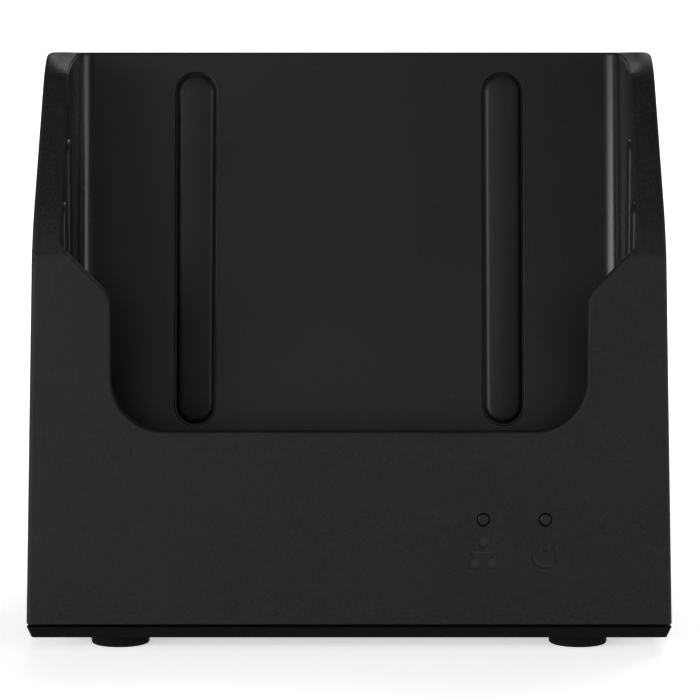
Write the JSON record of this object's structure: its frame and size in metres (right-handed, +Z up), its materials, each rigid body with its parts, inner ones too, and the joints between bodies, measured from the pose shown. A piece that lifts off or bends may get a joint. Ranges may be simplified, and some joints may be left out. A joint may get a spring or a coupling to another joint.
{
  "type": "cordless phone charging base",
  "caption": "Black desktop charging and data cradle for a cordless handset: leaning pocket, U-shaped front cut-out, guide pads, spring contacts, status lights and rubber feet.",
  "frame": {"origin": "on the table under the middle of the cradle's bounding box", "axes": "+Z up, -Y towards the front face with the cut-out, +X to the right seen from the front"},
  "size_m": [0.11, 0.084, 0.1016],
  "materials": {
    "housing_plastic": "fine spark-eroded texture, dry matte black ABS",
    "liner_plastic": "smooth satin black ABS",
    "tray_plastic": "fine-textured matte black ABS",
    "foot_rubber": "matte black rubber",
    "pad_plastic": "satin black elastomer",
    "light_pipe": "smoke-tinted clear polycarbonate",
    "led": "cream package with a clear lens",
    "circuit_board": "green solder mask over glass epoxy",
    "jack_steel": "tin-plated steel shield",
    "contact_gold": "gold-plated brass",
    "connector_black": "glass-filled black nylon",
    "spring_steel": "bright stainless wire",
    "chip": "moulded epoxy package",
    "capacitor_can": "bare aluminium can",
    "connector_cream": "cream nylon",
    "cable_grey": "grey PVC ribbon",
    "screw_steel": "zinc-plated steel"
  },
  "bodies": {
    "cradle": {"upper_housing": "housing_plastic", "pocket_liner": "liner_plastic", "base_tray": "tray_plastic", "foot_left_front": "foot_rubber", "foot_left_rear": "foot_rubber", "foot_right_front": "foot_rubber", "foot_right_rear": "foot_rubber", "back_pad_left": "pad_plastic", "back_pad_right": "pad_plastic", "side_pad_left_front": "pad_plastic", "side_pad_left_rear": "pad_plastic", "side_pad_right_front": "pad_plastic", "side_pad_right_rear": "pad_plastic", "network_light_pipe": "light_pipe", "power_light_pipe": "light_pipe", "network_led": "led", "power_led": "led", "indicator_board": "circuit_board", "main_board": "circuit_board", "network_jack": "jack_steel", "network_contacts": "contact_gold", "power_jack": "connector_black", "power_jack_pin": "spring_steel", "network_transformer": "chip", "controller_chip": "chip", "power_inductor": "chip", "bulk_capacitor": "capacitor_can", "ribbon_socket": "connector_cream", "contact_block": "connector_black", "contact_board": "circuit_board", "contact_spring_1": "spring_steel", "contact_spring_2": "spring_steel", "contact_spring_3": "spring_steel", "contact_spring_4": "spring_steel", "contact_spring_5": "spring_steel", "contact_spring_6": "spring_steel", "contact_spring_7": "spring_steel", "contact_spring_8": "spring_steel", "contact_ribbon": "cable_grey", "indicator_ribbon": "cable_grey", "case_screw_left_front": "screw_steel", "case_screw_left_rear": "screw_steel", "case_screw_right_front": "screw_steel", "case_screw_right_rear": "screw_steel", "board_screw_left_front": "screw_steel", "board_screw_left_rear": "screw_steel", "board_screw_right_front": "screw_steel", "board_screw_right_rear": "screw_steel", "block_screw_left": "screw_steel", "block_screw_right": "screw_steel"},
    "contact_1": {"contact_plunger_1": "contact_gold"},
    "contact_2": {"contact_plunger_2": "contact_gold"},
    "contact_3": {"contact_plunger_3": "contact_gold"},
    "contact_4": {"contact_plunger_4": "contact_gold"},
    "contact_5": {"contact_plunger_5": "contact_gold"},
    "contact_6": {"contact_plunger_6": "contact_gold"},
    "contact_7": {"contact_plunger_7": "contact_gold"},
    "contact_8": {"contact_plunger_8": "contact_gold"}
  },
  "joints": [
    {"name": "contact_1_press", "type": "slide", "parent": "cradle", "child": "contact_1", "axis": [0, 0, -1], "range_m": [0, 0.0015], "stiffness_N_per_m": 250, "springref_m": -0.0015, "deforming": ["contact_spring_1"]},
    {"name": "contact_2_press", "type": "slide", "parent": "cradle", "child": "contact_2", "axis": [0, 0, -1], "range_m": [0, 0.0015], "stiffness_N_per_m": 250, "springref_m": -0.0015, "deforming": ["contact_spring_2"]},
    {"name": "contact_3_press", "type": "slide", "parent": "cradle", "child": "contact_3", "axis": [0, 0, -1], "range_m": [0, 0.0015], "stiffness_N_per_m": 250, "springref_m": -0.0015, "deforming": ["contact_spring_3"]},
    {"name": "contact_4_press", "type": "slide", "parent": "cradle", "child": "contact_4", "axis": [0, 0, -1], "range_m": [0, 0.0015], "stiffness_N_per_m": 250, "springref_m": -0.0015, "deforming": ["contact_spring_4"]},
    {"name": "contact_5_press", "type": "slide", "parent": "cradle", "child": "contact_5", "axis": [0, 0, -1], "range_m": [0, 0.0015], "stiffness_N_per_m": 250, "springref_m": -0.0015, "deforming": ["contact_spring_5"]},
    {"name": "contact_6_press", "type": "slide", "parent": "cradle", "child": "contact_6", "axis": [0, 0, -1], "range_m": [0, 0.0015], "stiffness_N_per_m": 250, "springref_m": -0.0015, "deforming": ["contact_spring_6"]},
    {"name": "contact_7_press", "type": "slide", "parent": "cradle", "child": "contact_7", "axis": [0, 0, -1], "range_m": [0, 0.0015], "stiffness_N_per_m": 250, "springref_m": -0.0015, "deforming": ["contact_spring_7"]},
    {"name": "contact_8_press", "type": "slide", "parent": "cradle", "child": "contact_8", "axis": [0, 0, -1], "range_m": [0, 0.0015], "stiffness_N_per_m": 250, "springref_m": -0.0015, "deforming": ["contact_spring_8"]}
  ]
}
